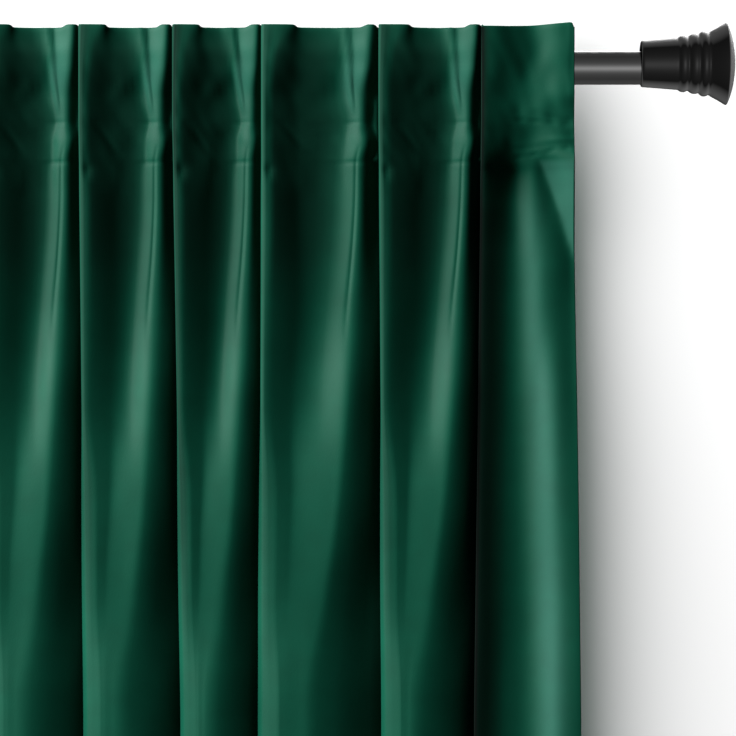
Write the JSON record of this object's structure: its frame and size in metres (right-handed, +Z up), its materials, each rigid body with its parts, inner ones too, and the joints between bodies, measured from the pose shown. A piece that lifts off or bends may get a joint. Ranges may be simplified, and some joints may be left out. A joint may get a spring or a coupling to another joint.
{
  "type": "velvet drape on curtain rod",
  "caption": "Gathered velvet drape hanging in uneven upright folds from hidden back tabs on a round curtain rod with ribbed, flared finials.",
  "frame": {"origin": "on the rod's axis at the middle of its length, where wall brackets behind the drape hold it", "axes": "+Z up, along the drop of the drape; +X along the rod to the right as seen from the room; -Y towards the room"},
  "size_m": [0.9584, 0.0675, 2.4562],
  "materials": {
    "velvet": "dense short pile, soft sheen",
    "tab_velvet": "plain strip of the same velvet",
    "rod_metal": "satin dark grey",
    "finial_black": "satin black"
  },
  "bodies": {
    "root": {"drape_panel": "velvet", "back_tab_01": "tab_velvet", "back_tab_02": "tab_velvet", "back_tab_03": "tab_velvet", "back_tab_04": "tab_velvet", "back_tab_05": "tab_velvet", "back_tab_06": "tab_velvet", "back_tab_07": "tab_velvet", "back_tab_08": "tab_velvet", "back_tab_09": "tab_velvet", "rod": "rod_metal", "finial_right": "finial_black", "finial_left": "finial_black"}
  },
  "joints": []
}
